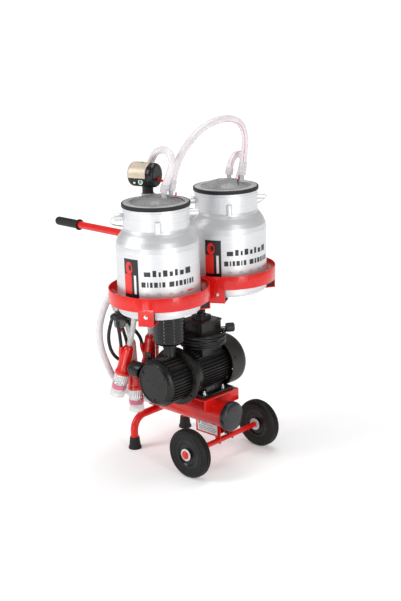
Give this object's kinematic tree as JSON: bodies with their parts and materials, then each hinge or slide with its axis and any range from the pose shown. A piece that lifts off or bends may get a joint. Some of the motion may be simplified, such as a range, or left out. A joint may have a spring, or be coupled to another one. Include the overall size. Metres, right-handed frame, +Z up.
{
  "type": "milking machine",
  "caption": "Mobile vacuum milking machine: red wheeled cart with vacuum tank, electric pump, milk cans in hoops, pulsator and teat cup cluster.",
  "frame": {"origin": "on the floor, at the centre of the machine's footprint box (grip end to wheel edge, hoop to hoop)", "axes": "+X from the push-handle grip to the wheels, +Y along the wheel axle from the near can to the far can, +Z up"},
  "size_m": [1.077, 0.7836, 1.3732],
  "materials": {
    "red_paint": "gloss",
    "rubber_black": "matt",
    "tyre_rubber": "matt",
    "rim_plastic": "satin",
    "can_aluminium": "satin",
    "zinc_steel": "bright zinc",
    "clear_plastic": "clear",
    "pulsator_plastic": "satin",
    "motor_paint": "satin",
    "cowl_paint": "satin",
    "stator_steel": "laminated",
    "shaft_steel": "ground",
    "fan_plastic": "matt",
    "rotor_iron": "machined",
    "vane_composite": "matt",
    "canister_plastic": "gloss",
    "box_plastic": "satin",
    "knob_plastic": "satin",
    "cable_rubber": "matt",
    "cup_red": "gloss",
    "cup_steel": "bright",
    "liner_rubber": "satin",
    "milk_rubber": "satin",
    "pulse_rubber": "satin",
    "hose_pvc": "clear"
  },
  "bodies": {
    "cart": {"axle": "red_paint", "axle_bracket": "red_paint", "bearings": "shaft_steel", "can_far": "can_aluminium", "can_near": "can_aluminium", "claw_body": "pulsator_plastic", "claw_bowl": "clear_plastic", "cluster_hook": "zinc_steel", "column": "red_paint", "drain_valve": "rubber_black", "end_bell": "motor_paint", "exhaust_silencer": "motor_paint", "fan_cover": "cowl_paint", "filter_canister": "canister_plastic", "foot_tips": "rubber_black", "frame_bolts": "zinc_steel", "handle_grip": "rubber_black", "hoop_far": "red_paint", "hoop_near": "red_paint", "hoop_pads": "rubber_black", "leg_frame": "red_paint", "motor_housing": "motor_paint", "motor_plate": "red_paint", "power_cable_coil": "cable_rubber", "power_cable_lead": "cable_rubber", "power_plug": "cable_rubber", "pulse_tubes": "pulse_rubber", "pump_cover": "motor_paint", "pump_housing": "motor_paint", "short_milk_tubes": "milk_rubber", "stator": "stator_steel", "tank_end_cap": "rubber_black", "teat_cup_ferrules": "cup_steel", "teat_cup_liners": "liner_rubber", "teat_cup_shells": "cup_red", "terminal_box": "box_plastic", "terminal_box_lid": "box_plastic", "vacuum_tank": "red_paint"},
    "near_wheel": {"tyre_near": "tyre_rubber", "wheel_rim_near": "rim_plastic"},
    "far_wheel": {"tyre_far": "tyre_rubber", "wheel_rim_far": "rim_plastic"},
    "rotor": {"rotor_shaft": "shaft_steel", "rotor_core": "stator_steel", "cooling_fan": "fan_plastic", "pump_rotor": "rotor_iron", "pump_vanes": "vane_composite"},
    "switch": {"switch_knob": "knob_plastic"},
    "regulator_screw": {"regulator_knob": "knob_plastic"},
    "claw_slide": {"claw_shut_off": "cup_red"},
    "near_bail": {"bail_near": "zinc_steel"},
    "far_bail": {"bail_far": "zinc_steel"},
    "near_lid": {"lid_near": "clear_plastic", "gasket_near": "rubber_black", "pulsator": "pulsator_plastic", "crossover_hose": "hose_pvc", "vacuum_hose": "hose_pvc"},
    "far_lid": {"lid_far": "clear_plastic", "gasket_far": "rubber_black", "long_milk_hose": "hose_pvc"}
  },
  "joints": [
    {"name": "near_wheel_spin", "type": "hinge", "parent": "cart", "child": "near_wheel", "pos_m": [0.4385, -0.206, 0.1], "axis": [0, 1, 0], "continuous": true},
    {"name": "far_wheel_spin", "type": "hinge", "parent": "cart", "child": "far_wheel", "pos_m": [0.4385, 0.206, 0.1], "axis": [0, 1, 0], "continuous": true},
    {"name": "rotor_spin", "type": "hinge", "parent": "cart", "child": "rotor", "pos_m": [0.3155, -0.05, 0.378], "axis": [0, 1, 0], "continuous": true},
    {"name": "switch_turn", "type": "hinge", "parent": "cart", "child": "switch", "pos_m": [0.3225, 0, 0.61], "axis": [0, 0, 1], "range_deg": [0, 90]},
    {"name": "regulator_turn", "type": "hinge", "parent": "cart", "child": "regulator_screw", "pos_m": [0.226, -0.208, 0.46], "axis": [0, 0, 1], "range_deg": [-180, 180]},
    {"name": "claw_shut_off_slide", "type": "slide", "parent": "cart", "child": "claw_slide", "axis": [0, 0, 1], "range_m": [0, 0.008]},
    {"name": "near_bail_swing", "type": "hinge", "parent": "cart", "child": "near_bail", "pos_m": [0.2905, -0.196, 1.035], "axis": [0.5878, 0.809, 0], "range_deg": [0, 65]},
    {"name": "far_bail_swing", "type": "hinge", "parent": "cart", "child": "far_bail", "pos_m": [0.2905, 0.196, 1.035], "axis": [0.5878, 0.809, 0], "range_deg": [0, 65]},
    {"name": "near_lid_lift", "type": "slide", "parent": "cart", "child": "near_lid", "axis": [0, 0, 1], "range_m": [0, 0.03]},
    {"name": "far_lid_lift", "type": "slide", "parent": "cart", "child": "far_lid", "axis": [0, 0, 1], "range_m": [0, 0.03]}
  ],
  "couplings": [
    {"joint": "far_lid_lift", "follows": "near_lid_lift", "ratio": 1}
  ]
}
